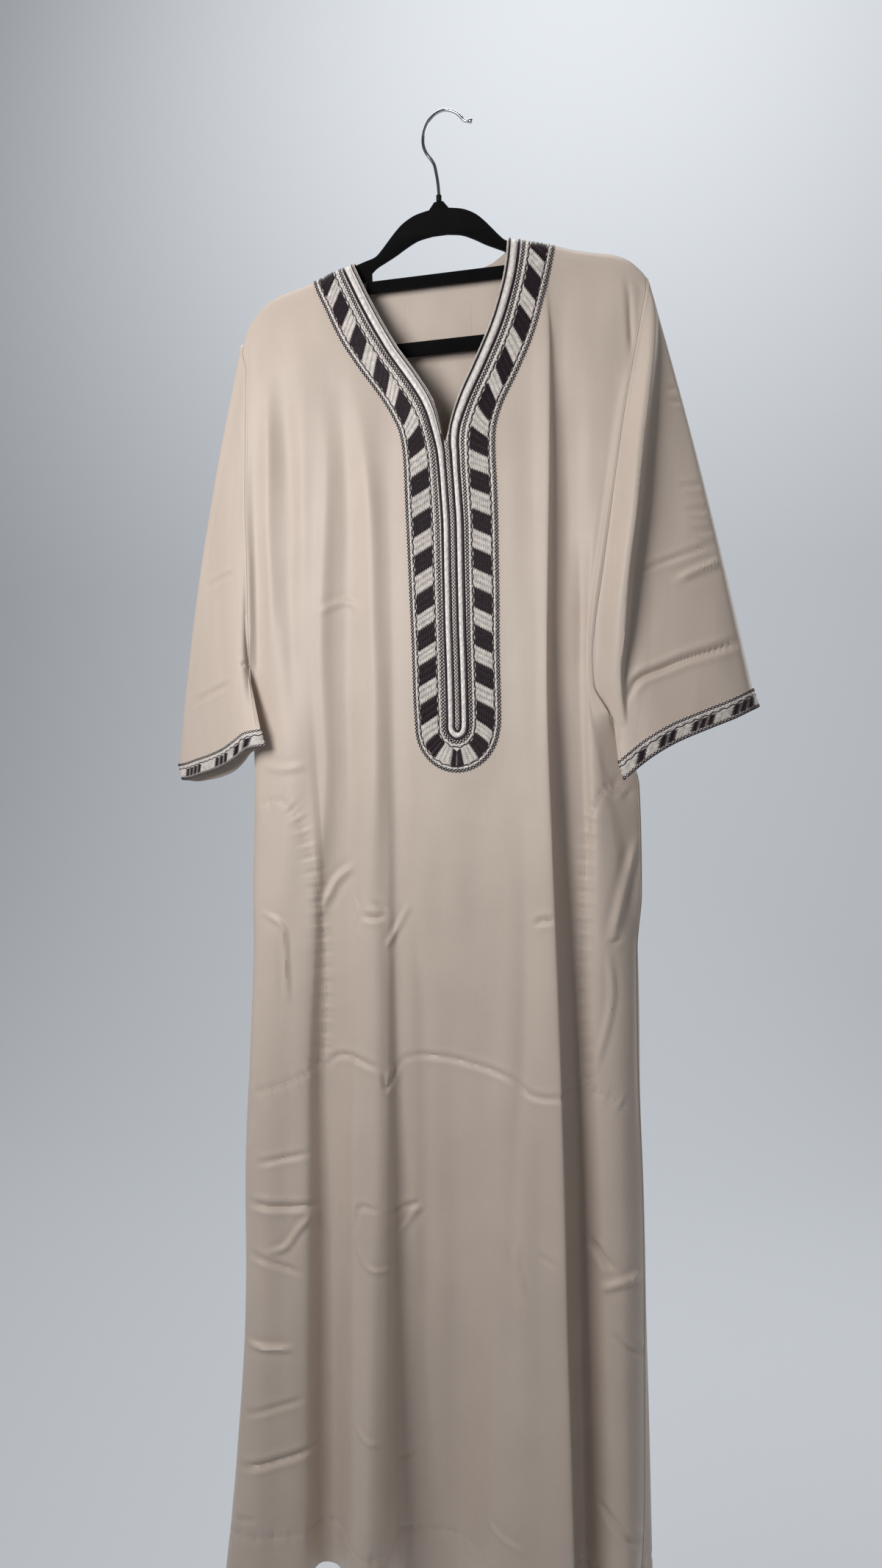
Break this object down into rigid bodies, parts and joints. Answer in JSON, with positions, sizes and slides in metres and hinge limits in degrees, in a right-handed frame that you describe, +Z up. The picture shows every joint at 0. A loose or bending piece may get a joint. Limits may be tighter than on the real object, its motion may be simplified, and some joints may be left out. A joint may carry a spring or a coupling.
{
  "type": "thobe robe on hanger",
  "caption": "Ankle-length robe with three-quarter sleeves and an embroidered V neck and placket, hanging on a flat suit hanger.",
  "frame": {"origin": "underside of the hook's crown, where the hook rests on its peg", "axes": "+Z up along the robe's length, -Y out of the robe's front, +X towards the wearer's left"},
  "size_m": [0.6665, 0.1333, 1.5854],
  "materials": {
    "front_panel": "beige sateen cloth",
    "back_panel": "beige sateen cloth",
    "sleeve_right": "beige sateen cloth",
    "sleeve_left": "beige sateen cloth",
    "pocket_bag_right": "beige pocket cloth",
    "pocket_bag_left": "beige pocket cloth",
    "neck_band": "dark and ivory machine embroidery",
    "cuff_band_right": "dark and ivory machine embroidery",
    "cuff_band_left": "dark and ivory machine embroidery",
    "hanger_frame": "black velvet flocking",
    "hanger_hook": "polished wire",
    "hook_ferrule": "black collar"
  },
  "bodies": {
    "root": {"front_panel": "front_panel", "back_panel": "back_panel", "sleeve_right": "sleeve_right", "sleeve_left": "sleeve_left", "pocket_bag_right": "pocket_bag_right", "pocket_bag_left": "pocket_bag_left", "neck_band": "neck_band", "cuff_band_right": "cuff_band_right", "cuff_band_left": "cuff_band_left", "hanger_frame": "hanger_frame", "hanger_hook": "hanger_hook", "hook_ferrule": "hook_ferrule"}
  },
  "joints": []
}
